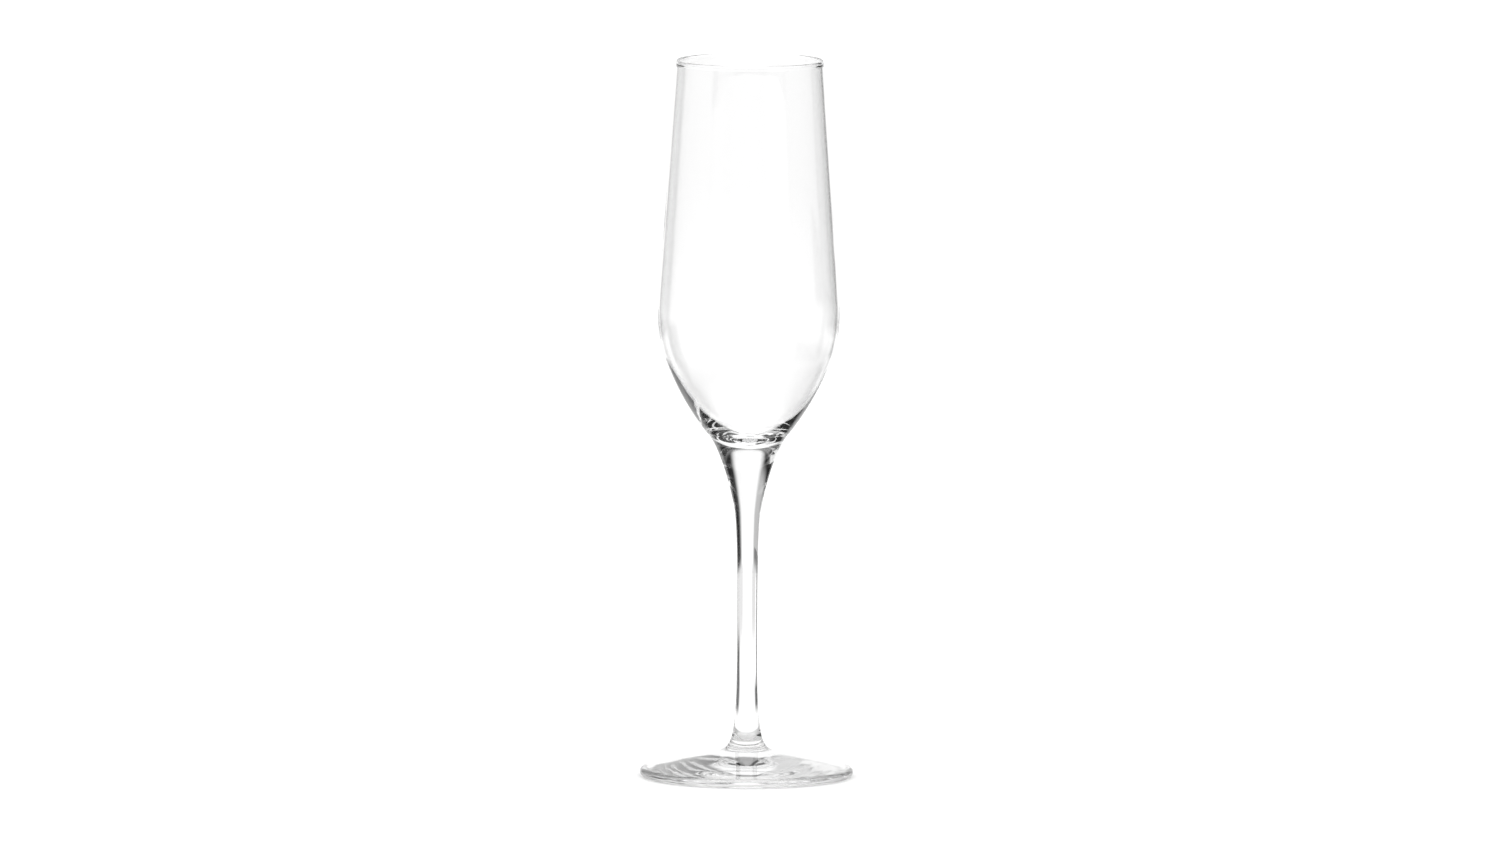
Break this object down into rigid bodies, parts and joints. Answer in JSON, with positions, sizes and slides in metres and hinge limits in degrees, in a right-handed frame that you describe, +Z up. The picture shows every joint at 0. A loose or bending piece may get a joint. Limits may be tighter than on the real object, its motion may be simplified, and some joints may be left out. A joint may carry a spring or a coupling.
{
  "type": "champagne flute",
  "caption": "Tall clear-glass flute for sparkling wine: narrow bowl widening to a low belly, slender drawn stem flared into the bowl, and a round sloped foot with a rolled edge.",
  "frame": {"origin": "centre of the circular ring that the foot stands on, on the table", "axes": "+Z up along the glass's axis of revolution, from foot to rim; X and Y are any two directions across it, as the glass is round"},
  "size_m": [0.0668, 0.0668, 0.225],
  "materials": {
    "bowl_glass": "fire-polished clear blown crystal glass",
    "stem_glass": "fire-polished clear drawn crystal glass",
    "foot_glass": "fire-polished clear pressed crystal glass"
  },
  "bodies": {
    "root": {"bowl": "bowl_glass", "stem": "stem_glass", "foot": "foot_glass"}
  },
  "joints": []
}
